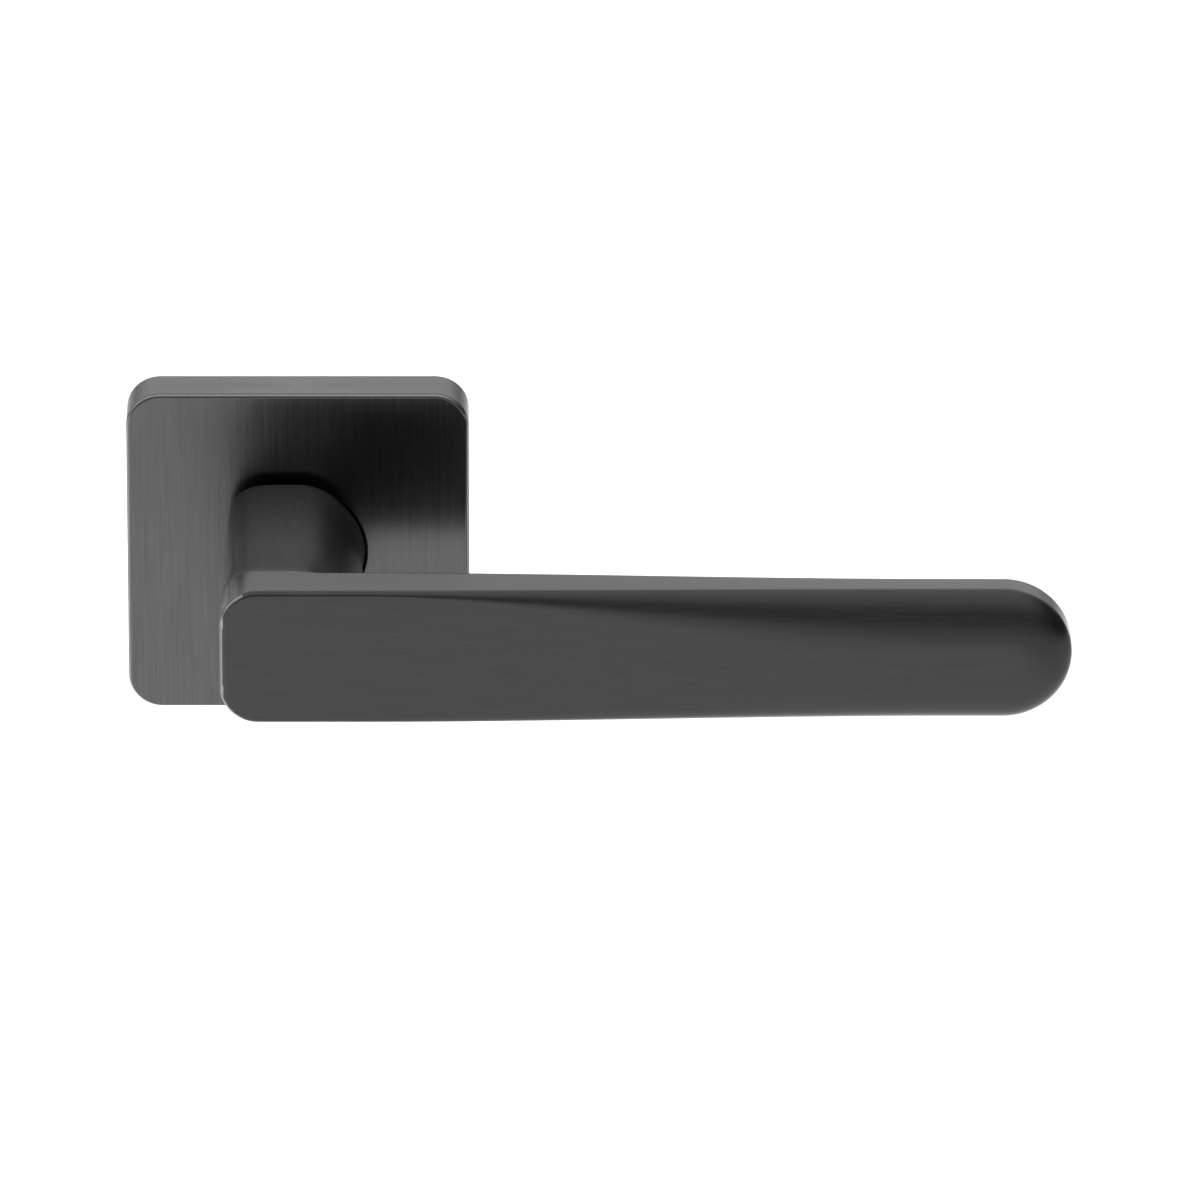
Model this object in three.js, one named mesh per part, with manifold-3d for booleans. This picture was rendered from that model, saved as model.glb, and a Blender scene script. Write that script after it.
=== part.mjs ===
// A door lever handle on a square rose: a sprung rose that screws to the door, and a lever that turns in it.
//
// Millimetres. +X runs along the lever, +Y goes into the door and +Z is up. The origin is on the turning
// axis, in the plane of the door's face. Angles round the axis are in degrees, from +Z towards +X, which is
// also the way the lever turns when it is pressed down.

import * as THREE from 'three';
import { mergeVertices } from 'three/addons/utils/BufferGeometryUtils.js';
import Module from 'manifold-3d';

const wasm = await Module();
wasm.setup();

// ---------------------------------------------------------------- driving dimensions

const fit = 0.3; // gap between pieces that seat on each other
const running = 0.4; // gap beside a face that moves

// Rose cover
const roseSide = 50;
const roseDepth = 7;
const roseCorner = 5;
const roseEdge = 0.6;
const coverWall = 1.5;

// Base plate and what is fixed to it
const floorThickness = 1.1;
const collarLength = 2.5;
const collarWall = 2.2;
const boltSpacing = 38;
const boltDiameter = 4;
const boltHeadDiameter = 6.6;
const boltReach = 40; // how far a bolt goes into the door
const lugWall = 1.6;
const lugLength = 8;
const woodScrewInset = 7.5; // from the side of the rose to a wood screw
const woodScrewDiameter = 3.5;
const woodScrewHeadDiameter = 6.8;
const woodScrewReach = 14;
const plateThickness = 0.6;
const plateScrewDiameter = 1.8;
const plateScrewHeadDiameter = 3;
const plateScrewAngles = [70, 122, 250, 302];
const clipLength = 7;
const clipThickness = 0.4;
const clipBow = 0.35;
const clipOffset = 10; // from the middle of a side to a clip

// Bearings
const journalDiameter = 16;
const ringWall = 1.4;
const ringFlange = 2.1;
const flangeThickness = 0.6;
const bushWall = 1.2;

// Rotor and its springs
const rotorWall = 3.7;
const turnAngle = 45;
const tabAngles = [-35, 145];
const tabHalfAngle = 6;
const channelBehindTab = 10; // degrees of channel behind the middle of a tab at rest
const channelAheadOfTab = 98; // and ahead of it
const stopAngle = 100;
const stopHalfAngle = 5;
const stopHeight = 1.4;
const springWire = 0.5;
const springTurns = 11;

// Spindle, and what holds it and the lever
const spindleSize = 8;
const spindleReach = 44; // how far the spindle goes into the door
const spindleSeat = 26.5; // how far it goes into the neck
const flatWall = 2.25; // metal between the square bore and a flat on the journal
const washerThickness = 0.5;
const waveThickness = 0.3;
const waveHeight = 0.35;
const circlipThickness = 1;
const circlipDepth = 1;
const circlipWidth = 2.2;
const grubDiameter = 5;
const grubLength = 6;
const grubHex = 2.5;

// Neck
const neckGap = 2.2; // between the rose's face and the neck
const neckRearHeight = 23.8;
const neckLeverHeight = 20;
const neckRight = 1.5; // how far the neck is wider than the journal, on the right
const neckLeft = 2.2; // and on the left
const neckSquareness = 4.5; // power of the left half's outline; the right half is an ellipse
const neckEdge = 0.6;
const grubPlace = 17; // from the door's face to the grub screw

// Lever
const leverMiddle = 41.1; // from the door's face to the lever's middle plane
const leverReach = 112.4; // from the axis to the tip
const leverHeel = 10.8; // from the axis to the other end
const heelHeight = 21.2;
const heelThickness = 6.8;
const heelCorner = 5.5;
const heelEdge = 0.8;
const tipHeight = 20;
const tipThickness = 9.6;
const tipEdgeAcross = 4.5; // width of the rounding round the tip
const tipEdgeDeep = 3.4; // and its depth
const crownAcross = 10; // width of the front's upper rounding, at the tip
const swellStart = 10; // where the section starts to change from slab to crowned
const swellEnd = 95; // and where it ends

// ---------------------------------------------------------------- derived places, along Y

const coverInside = -roseDepth + coverWall;
const baseFront = coverInside + fit;
const plateFront = baseFront + fit;
const plateBack = plateFront + plateThickness;
const landFront = plateBack + fit;
const channelFloor = -floorThickness;
const rotorBack = channelFloor - fit;
const rotorFront = plateBack + running;
const flangeBack = baseFront + flangeThickness;
const washerFront = collarLength + fit;
const waveMiddle = washerFront + washerThickness + fit + waveHeight + waveThickness / 2;
const circlipFront = waveMiddle + waveHeight + waveThickness / 2 + fit;
const circlipBack = circlipFront + circlipThickness;
const journalEnd = circlipBack + 1.3;
const neckRear = -roseDepth - neckGap;
const leverBack = -leverMiddle + heelThickness / 2;

// ---------------------------------------------------------------- derived sizes, round the axis

const journalRadius = journalDiameter / 2;
const bearingRadius = journalRadius + fit;
const ringRadius = bearingRadius + ringWall;
const coverHoleRadius = ringRadius + fit;
const flangeRadius = ringRadius + ringFlange;
const rotorRadius = bearingRadius + rotorWall;
const pocketRadius = rotorRadius + running;
const springOuter = landFront < channelFloor ? channelFloor - landFront - fit : fit;
const springRadius = rotorRadius + 2 * running + springOuter / 2;
const channelRadius = springRadius + springOuter / 2 + running;
const plateInner = flangeRadius + fit + 0.2;
const plateOuter = channelRadius + 2.4;
const plateScrewRadius = (pocketRadius + plateOuter) / 2;
const bushRadius = bearingRadius + bushWall;
const boreRadius = bushRadius + fit;
const collarRadius = boreRadius + collarWall;
const spindleHalf = spindleSize / 2;
const squareHalf = spindleHalf + 0.25;
const flatHalf = squareHalf + flatWall;
const grooveRadius = journalRadius - circlipDepth;
const baseSide = roseSide - 2 * coverWall - 2 * fit;
const baseCorner = roseCorner - coverWall - fit;
const woodScrewPlace = roseSide / 2 - woodScrewInset;

// ---------------------------------------------------------------- shape helpers

const radians = THREE.MathUtils.degToRad;
const { lerp, smoothstep } = THREE.MathUtils;

// A point in X and Z, at an angle round the axis.
function around(radius, angle) {
  return new THREE.Vector2(radius * Math.sin(radians(angle)), radius * Math.cos(radians(angle)));
}

// A closed mesh as a solid that can be joined and cut.
function solid(geometry) {
  geometry.deleteAttribute('normal');
  geometry.deleteAttribute('uv');
  const merged = mergeVertices(geometry, 1e-4);
  return new wasm.Manifold(new wasm.Mesh({
    numProp: 3,
    vertProperties: new Float32Array(merged.attributes.position.array),
    triVerts: new Uint32Array(merged.index.array),
  }));
}

// A shape drawn in X and Z, made solid between two places along Y.
function slab(shape, front, back, curveSegments = 12) {
  const depth = back - front;
  const geometry = new THREE.ExtrudeGeometry(shape, { depth, bevelEnabled: false, curveSegments });
  geometry.rotateX(Math.PI / 2);
  geometry.translate(0, back, 0);
  return solid(geometry);
}

function box(left, right, front, back, bottom, top) {
  const geometry = new THREE.BoxGeometry(right - left, back - front, top - bottom);
  geometry.translate((left + right) / 2, (front + back) / 2, (bottom + top) / 2);
  return solid(geometry);
}

// A profile of [radius, y] points, counterclockwise, turned round Y.
function turned(profile, segments = 48) {
  const points = profile.map(([radius, y]) => new THREE.Vector2(radius, y));
  if (profile[0][0] > 0) points.push(points[0].clone());
  return solid(new THREE.LatheGeometry(points, segments));
}

function pin(radius, front, back, segments = 48) {
  return turned([[0, front], [radius, front], [radius, back], [0, back]], segments);
}

function ring(outer, inner, front, back, segments = 48) {
  return turned([[outer, front], [outer, back], [inner, back], [inner, front]], segments);
}

// A pin whose radius changes evenly from front to back.
function cone(frontRadius, backRadius, front, back, segments = 32) {
  return turned([[0, front], [frontRadius, front], [backRadius, back], [0, back]], segments);
}

function regularShape(sides, radius) {
  const corners = Array.from({ length: sides }, (_, i) => around(radius, 360 * i / sides));
  return new THREE.Shape(corners);
}

// The part of a flat ring between two angles.
function sector(inner, outer, from, to) {
  const steps = Math.max(2, Math.ceil((to - from) / 6));
  const outline = [];
  for (let i = 0; i <= steps; i++) outline.push(around(outer, lerp(from, to, i / steps)));
  for (let i = steps; i >= 0; i--) outline.push(around(inner, lerp(from, to, i / steps)));
  return new THREE.Shape(outline);
}

function roundedSquare(side, corner) {
  const reach = side / 2 - corner;
  const shape = new THREE.Shape();
  shape.absarc(reach, reach, corner, 0, Math.PI / 2);
  shape.absarc(-reach, reach, corner, Math.PI / 2, Math.PI);
  shape.absarc(-reach, -reach, corner, Math.PI, 1.5 * Math.PI);
  shape.absarc(reach, -reach, corner, 1.5 * Math.PI, 2 * Math.PI);
  return shape;
}

// Rings of [x, y, z] points, skinned one to the next and closed at both ends. The points of a ring run
// counterclockwise, seen against the direction in which the rings follow each other.
function loft(rings) {
  const count = rings[0].length;
  const last = (rings.length - 1) * count;
  const faces = [];
  for (let start = 0; start < last; start += count) {
    for (let i = 0; i < count; i++) {
      const a = start + i;
      const b = start + (i + 1) % count;
      faces.push(a, b, b + count, a, b + count, a + count);
    }
  }
  for (let i = 1; i + 1 < count; i++) {
    faces.push(0, i + 1, i);
    faces.push(last, last + i, last + i + 1);
  }
  const geometry = new THREE.BufferGeometry();
  geometry.setAttribute('position', new THREE.Float32BufferAttribute(rings.flat(2), 3));
  geometry.setIndex(faces);
  return solid(geometry);
}

// How far a rounded edge has fallen, at a distance in from the outline.
function edgeFall(distance, across, deep) {
  if (distance >= across) return 0;
  return deep * (1 - Math.sqrt(1 - (1 - Math.max(0, distance) / across) ** 2));
}

// ---------------------------------------------------------------- the assembly and its finishes

const handle = new THREE.Group();

function finish(color, roughness, metalness) {
  return new THREE.MeshStandardMaterial({ color, roughness, metalness });
}

const satinNickel = () => finish(0x55565a, 0.38, 0.9);
const zinc = () => finish(0xa9abac, 0.45, 0.9);
const steel = () => finish(0xb9babb, 0.35, 1);
const springSteel = () => finish(0x8f9192, 0.3, 1);
const nylon = () => finish(0x1c1c1d, 0.55, 0);

function place(name, body, material, x = 0, z = 0) {
  const { vertProperties, triVerts } = body.getMesh();
  const geometry = new THREE.BufferGeometry();
  geometry.setAttribute('position', new THREE.BufferAttribute(vertProperties, 3));
  geometry.setIndex(new THREE.BufferAttribute(triVerts, 1));
  geometry.computeVertexNormals();
  const mesh = new THREE.Mesh(geometry, material);
  mesh.name = name;
  mesh.position.set(x, 0, z);
  handle.add(mesh);
  return mesh;
}

// ---------------------------------------------------------------- rose cover

// The outer shell: square outlines with round corners, closing in over the rounded front edge.
function coverShell() {
  const edgeAngles = [0, 22.5, 45, 67.5, 90];
  const rings = [[0, 0], ...edgeAngles.map((angle) => [
    roseEdge * (1 - Math.cos(radians(angle))),
    -roseDepth + roseEdge * (1 - Math.sin(radians(angle))),
  ])].map(([inset, y]) => {
    const outline = roundedSquare(roseSide - 2 * inset, roseCorner - inset).getPoints(8);
    outline.pop();
    return outline.map((point) => [point.x, y, point.y]);
  });
  return loft(rings);
}

const coverHollow = slab(roundedSquare(baseSide + 2 * fit, baseCorner + fit), coverInside, 1);
const coverHole = pin(coverHoleRadius, -roseDepth - 1, 1);
place('rose_cover', coverShell().subtract(coverHollow).subtract(coverHole), satinNickel());

// ---------------------------------------------------------------- guide ring, in the cover's hole

place('guide_ring', turned([
  [bearingRadius, -roseDepth + 0.1],
  [ringRadius, -roseDepth + 0.1],
  [ringRadius, baseFront],
  [flangeRadius, baseFront],
  [flangeRadius, flangeBack],
  [bearingRadius, flangeBack],
]), nylon());

// ---------------------------------------------------------------- base plate

const boltRadius = boltDiameter / 2;
const boltHeadRadius = boltHeadDiameter / 2;
const boltHeadFront = plateFront;
const boltHeadBack = boltHeadFront + (boltHeadRadius - boltRadius);
const woodRadius = woodScrewDiameter / 2;
const woodHeadRadius = woodScrewHeadDiameter / 2;
const woodHeadBack = plateFront + (woodHeadRadius - woodRadius);
const plateScrewBore = plateScrewDiameter / 2 + 0.2;
const plateScrewEnd = channelFloor - 0.2;
const clipRecess = clipThickness + clipBow + fit;
const clipFront = baseFront + 1;
const clipBack = -1;
const boltPlaces = [-boltSpacing / 2, boltSpacing / 2];
const woodScrewPlaces = [-woodScrewPlace, woodScrewPlace];

// A hole for a countersunk screw, open towards the front.
function countersink(shank, head, headBack, back) {
  const gap = fit;
  return turned([
    [0, -roseDepth],
    [head + gap, -roseDepth],
    [head + gap, headBack - (head - shank)],
    [shank + gap, headBack],
    [shank + gap, back],
    [0, back],
  ], 32);
}

function basePlate() {
  let body = slab(roundedSquare(baseSide, baseCorner), baseFront, 0);
  body = body.add(pin(collarRadius, -floorThickness, collarLength));
  const lug = pin(boltRadius + fit + lugWall, -floorThickness, lugLength, 32);
  for (const x of boltPlaces) body = body.add(lug.translate(x, 0, 0));

  body = body.subtract(pin(plateOuter + fit, baseFront - 1, landFront));
  body = body.subtract(pin(pocketRadius, baseFront - 1, channelFloor));
  body = body.subtract(pin(boreRadius, baseFront - 1, collarLength + 1));
  for (const tab of tabAngles) {
    const channel = sector(pocketRadius - 1, channelRadius, tab - channelBehindTab, tab + channelAheadOfTab);
    body = body.subtract(slab(channel, baseFront - 1, channelFloor));
  }
  const stop = sector(pocketRadius - stopHeight, pocketRadius + 0.5, stopAngle - stopHalfAngle,
    stopAngle + stopHalfAngle);
  body = body.add(slab(stop, rotorFront, channelFloor + 0.2));

  const boltHole = countersink(boltRadius, boltHeadRadius, boltHeadBack, lugLength + 1);
  for (const x of boltPlaces) body = body.subtract(boltHole.translate(x, 0, 0));
  const woodHole = countersink(woodRadius, woodHeadRadius, woodHeadBack, 1);
  for (const at of woodScrewPlaces) body = body.subtract(woodHole.translate(at, 0, at));
  const screwHole = pin(plateScrewBore, baseFront - 1, plateScrewEnd + 0.1, 16);
  for (const angle of plateScrewAngles) {
    const at = around(plateScrewRadius, angle);
    body = body.subtract(screwHole.translate(at.x, 0, at.y));
  }

  const half = baseSide / 2;
  const recessReach = clipLength / 2 + 0.5;
  for (const x of [-clipOffset, clipOffset]) {
    for (const [bottom, top] of [[half - clipRecess, half + 1], [-half - 1, -half + clipRecess]]) {
      const sides = [x - recessReach, x + recessReach];
      body = body.subtract(box(...sides, clipFront - 0.3, clipBack + 0.3, bottom, top));
    }
  }
  return body;
}

place('base_plate', basePlate(), zinc());

// ---------------------------------------------------------------- rear bush, in the base plate's collar

place('rear_bush', ring(bushRadius, bearingRadius, channelFloor + 0.2, collarLength - 0.2), nylon());

// ---------------------------------------------------------------- spring plate, closing the channels

function springPlate() {
  let body = ring(plateOuter, plateInner, plateFront, plateBack);
  const notch = pin(boltHeadRadius + 2 * fit, plateFront - 1, plateBack + 1, 32);
  for (const x of boltPlaces) body = body.subtract(notch.translate(x, 0, 0));
  const seat = cone(plateScrewHeadDiameter / 2 + fit, plateScrewBore, plateFront, plateBack, 16)
    .add(pin(plateScrewBore, plateFront - 1, plateBack + 1, 16));
  for (const angle of plateScrewAngles) {
    const at = around(plateScrewRadius, angle);
    body = body.subtract(seat.translate(at.x, 0, at.y));
  }
  return body;
}

place('spring_plate', springPlate(), steel());

// ---------------------------------------------------------------- springs, in the base plate's channels

class CoilOnArc extends THREE.Curve {
  constructor(from, to) {
    super();
    this.from = from;
    this.to = to;
  }

  getPoint(share) {
    const phase = 2 * Math.PI * springTurns * share;
    const coil = (springOuter - springWire) / 2;
    const at = around(springRadius + coil * Math.cos(phase), lerp(this.from, this.to, share));
    const middle = (landFront + channelFloor) / 2;
    return new THREE.Vector3(at.x, middle + coil * Math.sin(phase), at.y);
  }
}

function spring(from, to) {
  const wire = regularShape(6, springWire / 2);
  const extrudePath = new CoilOnArc(from, to);
  return solid(new THREE.ExtrudeGeometry(wire, { extrudePath, steps: springTurns * 10 }));
}

['spring_upper', 'spring_lower'].forEach((name, i) => {
  const from = tabAngles[i] + tabHalfAngle + 2;
  const to = tabAngles[i] + channelAheadOfTab - 2;
  place(name, spring(from, to), springSteel());
});

// ---------------------------------------------------------------- screws, bolts and clips of the rose

// A countersunk screw along Y, with a crossed recess in its head and a plain or a pointed end.
function countersunkScrew(shank, head, front, end, pointLength) {
  const body = turned([
    [0, front],
    [head, front],
    [shank, front + head - shank],
    [shank, end - pointLength],
    [pointLength > 0 ? 0.2 : shank, end],
    [0, end],
  ], 24);
  const reach = head * 0.55;
  const width = head * 0.13;
  const depth = front + (head - shank) * 0.8;
  return body
    .subtract(box(-reach, reach, front - 1, depth, -width, width))
    .subtract(box(-width, width, front - 1, depth, -reach, reach));
}

const plateScrew = turned([
  [0, plateFront],
  [plateScrewHeadDiameter / 2, plateFront],
  [plateScrewDiameter / 2, plateBack],
  [plateScrewDiameter / 2, plateScrewEnd],
  [0, plateScrewEnd],
], 12).subtract(box(-1.1, 1.1, plateFront - 1, plateFront + 0.3, -0.2, 0.2));

plateScrewAngles.forEach((angle, i) => {
  const at = around(plateScrewRadius, angle);
  place(`plate_screw_${i + 1}`, plateScrew, steel(), at.x, at.y);
});

['left', 'right'].forEach((side, i) => {
  const bolt = countersunkScrew(boltRadius, boltHeadRadius, boltHeadFront, boltReach, 0);
  place(`through_bolt_${side}`, bolt, steel(), boltPlaces[i]);
  const screw = countersunkScrew(woodRadius, woodHeadRadius, plateFront, woodScrewReach, 4);
  place(`wood_screw_${side}`, screw, steel(), woodScrewPlaces[i], woodScrewPlaces[i]);
});

// A bowed leaf in the base plate's upper side, its middle nearest the cover.
function coverClip() {
  const steps = 8;
  const outline = [];
  const height = (share) => baseSide / 2 - clipBow * share * share;
  for (let i = -steps; i <= steps; i += 2) {
    outline.push(new THREE.Vector2(clipLength / 2 * i / steps, height(i / steps)));
  }
  for (let i = steps; i >= -steps; i -= 2) {
    outline.push(new THREE.Vector2(clipLength / 2 * i / steps, height(i / steps) - clipThickness));
  }
  return slab(new THREE.Shape(outline), clipFront, clipBack);
}

const clip = coverClip();
place('cover_clip_1', clip, springSteel(), -clipOffset);
place('cover_clip_2', clip, springSteel(), clipOffset);
place('cover_clip_3', clip, springSteel(), clipOffset).rotation.y = Math.PI;
place('cover_clip_4', clip, springSteel(), -clipOffset).rotation.y = Math.PI;

// ---------------------------------------------------------------- lever, with its neck and journal

// 0 where the lever is a flat slab, 1 where it is fully crowned.
const swell = (x) => smoothstep(x, swellStart, swellEnd);
const halfHeight = (x) => lerp(heelHeight, tipHeight, swell(x)) / 2;
const halfThickness = (x) => lerp(heelThickness, tipThickness, swell(x)) / 2;
const edgeAcross = (x) => lerp(heelEdge, tipEdgeAcross, swell(x));
const edgeDeep = (x) => lerp(heelEdge, tipEdgeDeep, swell(x));
const crownWidth = (x) => lerp(heelEdge, crownAcross, swell(x));
const tipRadius = tipHeight / 2;

// Distance past the start of the rounded corner at either end, and that corner's radius.
function pastCorner(x) {
  const heelSide = x < (leverReach - leverHeel) / 2;
  const corner = heelSide ? heelCorner : tipRadius;
  const past = heelSide ? corner - leverHeel - x : x - leverReach + corner;
  return { corner, past: Math.max(0, past) };
}

// Half the height of the lever's outline, seen from the front.
function outlineHeight(x) {
  const { corner, past } = pastCorner(x);
  return halfHeight(x) - corner + Math.sqrt(Math.max(0, corner ** 2 - past ** 2));
}

// Distance in from the lever's outline.
function insideBy(x, z) {
  const { corner, past } = pastCorner(x);
  return corner - Math.hypot(past, Math.max(0, Math.abs(z) - halfHeight(x) + corner));
}

// One ring of the lever: down its front and up its back.
function leverRing(x) {
  const height = outlineHeight(x);
  const upperWidth = Math.min(crownWidth(x), 0.9 * height);
  const lowerWidth = Math.min(edgeAcross(x), 0.9 * height);
  const heights = [];
  for (let angle = 0; angle <= 90; angle += 18) {
    heights.push(height - upperWidth * (1 - Math.cos(radians(angle))));
  }
  heights.push(lerp(height - upperWidth, lowerWidth - height, 0.5));
  for (let angle = 90; angle >= 0; angle -= 18) {
    heights.push(lowerWidth * (1 - Math.cos(radians(angle))) - height);
  }
  const front = heights.map((z) => {
    const upper = smoothstep(z, -tipRadius / 2, tipRadius / 2);
    const across = lerp(edgeAcross(x), crownWidth(x), upper);
    return [x, edgeFall(insideBy(x, z), across, edgeDeep(x)) - halfThickness(x) - leverMiddle, z];
  });
  const back = heights.map((z) => {
    return [x, halfThickness(x) - edgeFall(insideBy(x, z), edgeAcross(x), edgeDeep(x)) - leverMiddle, z];
  });
  return [...front, ...back.reverse()];
}

function leverGrip() {
  const places = [];
  for (const angle of [0, 30, 60, 90]) places.push(heelEdge * (1 - Math.cos(radians(angle))) - leverHeel);
  for (const angle of [45, 60, 75, 90]) places.push(heelCorner * (1 - Math.cos(radians(angle))) - leverHeel);
  const straight = leverReach - tipRadius;
  const first = heelCorner - leverHeel;
  const steps = 11;
  for (let i = 1; i <= steps; i++) places.push(lerp(first, straight, i / steps));
  for (const angle of [12, 24, 36, 47, 57, 66, 74, 81, 86]) {
    places.push(straight + tipRadius * Math.sin(radians(angle)));
  }
  return loft(places.map(leverRing));
}

// One ring of the neck: an ellipse on the right, a squarer curve on the left.
function neckRing(y, inset) {
  const share = (neckRear - y) / (neckRear - leverBack);
  const height = lerp(neckRearHeight, neckLeverHeight, Math.min(1, share)) / 2 - inset;
  const right = journalRadius + neckRight - inset;
  const left = Math.min(journalRadius + neckLeft, leverHeel) - inset;
  const points = [];
  for (let angle = 0; angle < 360; angle += 10) {
    const cosine = Math.cos(radians(angle));
    const sine = Math.sin(radians(angle));
    const power = cosine < -1e-9 ? 2 / neckSquareness : 1;
    const across = Math.sign(cosine) * Math.abs(cosine) ** power;
    const up = Math.sign(sine) * Math.abs(sine) ** power;
    points.push([across * (cosine > 0 ? right : left), y, up * height]);
  }
  return points;
}

function neck() {
  const rings = [0, 30, 60, 90].map((angle) => {
    const inset = neckEdge * (1 - Math.sin(radians(angle)));
    return neckRing(neckRear - neckEdge * (1 - Math.cos(radians(angle))), inset);
  });
  for (const share of [0.35, 0.7, 1]) rings.push(neckRing(lerp(neckRear, leverBack, share), 0));
  rings.push(neckRing(-leverMiddle, 0));
  return loft(rings);
}

const grubEnd = -spindleHalf - fit;

function lever() {
  let body = leverGrip().add(neck()).add(pin(journalRadius, neckRear - 1, journalEnd));
  const reach = journalRadius + 1;
  body = body.subtract(box(-reach, reach, rotorFront - fit, journalEnd + 1, flatHalf, reach));
  body = body.subtract(box(-reach, reach, rotorFront - fit, journalEnd + 1, -reach, -flatHalf));
  body = body.subtract(ring(reach, grooveRadius, circlipFront - 0.2, circlipBack + 0.2));
  const square = [-squareHalf, squareHalf];
  body = body.subtract(box(...square, -spindleSeat - 0.5, journalEnd + 1, ...square));
  const grubHole = pin(grubDiameter / 2 + fit, 0, neckRearHeight, 24).rotate(-90, 0, 0);
  return body.subtract(grubHole.translate(0, -grubPlace, 0));
}

place('lever', lever(), satinNickel());

// ---------------------------------------------------------------- spindle and grub screw

const bevel = 0.8;
const spindleHalfSection = new THREE.Shape([
  new THREE.Vector2(-spindleHalf + bevel, -spindleHalf),
  new THREE.Vector2(spindleHalf - bevel, -spindleHalf),
  new THREE.Vector2(spindleHalf, -spindleHalf + bevel),
  new THREE.Vector2(spindleHalf, spindleHalf - bevel),
  new THREE.Vector2(spindleHalf - bevel, spindleHalf),
  new THREE.Vector2(-spindleHalf + bevel, spindleHalf),
  new THREE.Vector2(-spindleHalf, spindleHalf - bevel),
  new THREE.Vector2(-spindleHalf, -spindleHalf + bevel),
]);
place('spindle', slab(spindleHalfSection, -spindleSeat, spindleReach), steel());

// The grub screw points up against the spindle, its hexagonal socket downwards.
function grubScrew() {
  const socket = slab(regularShape(6, grubHex / Math.sqrt(3)), grubLength - grubHex, grubLength + 1);
  const point = grubDiameter / 2 - 1;
  const body = turned([
    [0, 0],
    [point, 0],
    [grubDiameter / 2, 1],
    [grubDiameter / 2, grubLength - 0.4],
    [grubDiameter / 2 - 0.4, grubLength],
    [0, grubLength],
  ], 24);
  return body.subtract(socket).rotate(-90, 0, 0).translate(0, -grubPlace, grubEnd);
}

place('grub_screw', grubScrew(), springSteel());

// ---------------------------------------------------------------- rotor, between the lever and the springs

function rotor() {
  let body = ring(rotorRadius, bearingRadius - 2, rotorFront, rotorBack);
  for (const tab of tabAngles) {
    const arm = sector(rotorRadius - 1, channelRadius - running, tab - tabHalfAngle, tab + tabHalfAngle);
    body = body.add(slab(arm, rotorFront, rotorBack));
  }
  const notch = sector(pocketRadius - stopHeight - running, rotorRadius + 1,
    stopAngle - stopHalfAngle - turnAngle - 1, stopAngle + stopHalfAngle + 1);
  body = body.subtract(slab(notch, rotorFront - 1, rotorBack + 1));
  const flats = [-flatHalf - fit, flatHalf + fit];
  const bore = pin(bearingRadius, rotorFront - 1, rotorBack + 1)
    .intersect(box(-bearingRadius, bearingRadius, rotorFront - 1, rotorBack + 1, ...flats));
  return body.subtract(bore);
}

place('rotor', rotor(), zinc());

// ---------------------------------------------------------------- washers and circlip, behind the collar

const washerBack = washerFront + washerThickness;
place('thrust_washer', ring(collarRadius - 0.5, bearingRadius, washerFront, washerBack), steel());

function waveWasher() {
  const outer = bearingRadius + circlipWidth;
  const half = waveThickness / 2;
  const profile = [[outer, -half], [outer, half], [bearingRadius, half], [bearingRadius, -half], [outer, -half]];
  const geometry = new THREE.LatheGeometry(profile.map(([r, y]) => new THREE.Vector2(r, y)), 48);
  const position = geometry.attributes.position;
  for (let i = 0; i < position.count; i++) {
    const angle = Math.atan2(position.getX(i), position.getZ(i));
    position.setY(i, position.getY(i) + waveMiddle + waveHeight * Math.cos(3 * angle));
  }
  return solid(geometry);
}

place('wave_washer', waveWasher(), springSteel());

function circlip() {
  const inner = grooveRadius + 0.2;
  const outer = inner + circlipWidth;
  let body = slab(sector(inner, outer, 18, 342), circlipFront, circlipBack);
  for (const angle of [16, 344]) {
    const at = around(inner + circlipWidth / 2 + 0.5, angle);
    const eye = ring(1.5, 0.6, circlipFront, circlipBack, 16).translate(at.x, 0, at.y);
    const hole = pin(0.6, circlipFront - 1, circlipBack + 1, 16).translate(at.x, 0, at.y);
    body = body.add(eye).subtract(hole);
  }
  return body.subtract(pin(inner, circlipFront - 1, circlipBack + 1));
}

place('circlip', circlip(), springSteel());

export default handle;
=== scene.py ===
"""A satin metal door lever on a square rose, in a plain studio.

Metres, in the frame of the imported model: +X along the lever, +Y into the door, +Z up, and the turning axis
along Y through the origin. The lever, the rose cover, the threaded pieces and the coiled springs are rebuilt
here as fine meshes, around the sizes of the CAD nodes. The other nodes keep their shape and get softened
edges and materials. Sizes are named in millimetres, and MM turns them into metres.
"""

import math

import bmesh
import bpy
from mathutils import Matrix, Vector


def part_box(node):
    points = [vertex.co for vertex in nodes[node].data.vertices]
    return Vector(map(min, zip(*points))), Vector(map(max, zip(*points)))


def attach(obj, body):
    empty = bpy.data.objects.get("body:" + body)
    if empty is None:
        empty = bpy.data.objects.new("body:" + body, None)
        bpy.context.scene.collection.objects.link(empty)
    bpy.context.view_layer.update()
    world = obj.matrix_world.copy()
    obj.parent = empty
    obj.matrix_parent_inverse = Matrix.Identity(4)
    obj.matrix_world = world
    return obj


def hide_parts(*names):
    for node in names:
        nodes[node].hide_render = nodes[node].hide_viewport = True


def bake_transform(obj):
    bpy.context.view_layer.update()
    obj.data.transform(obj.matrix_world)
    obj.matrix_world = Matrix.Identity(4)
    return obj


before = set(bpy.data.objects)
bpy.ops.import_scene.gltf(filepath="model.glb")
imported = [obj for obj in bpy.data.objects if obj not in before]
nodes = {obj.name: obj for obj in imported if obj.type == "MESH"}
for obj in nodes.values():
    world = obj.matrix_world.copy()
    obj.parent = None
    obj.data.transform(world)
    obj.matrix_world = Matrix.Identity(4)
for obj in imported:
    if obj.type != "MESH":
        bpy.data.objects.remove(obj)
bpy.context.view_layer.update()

MM = 0.001


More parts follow.
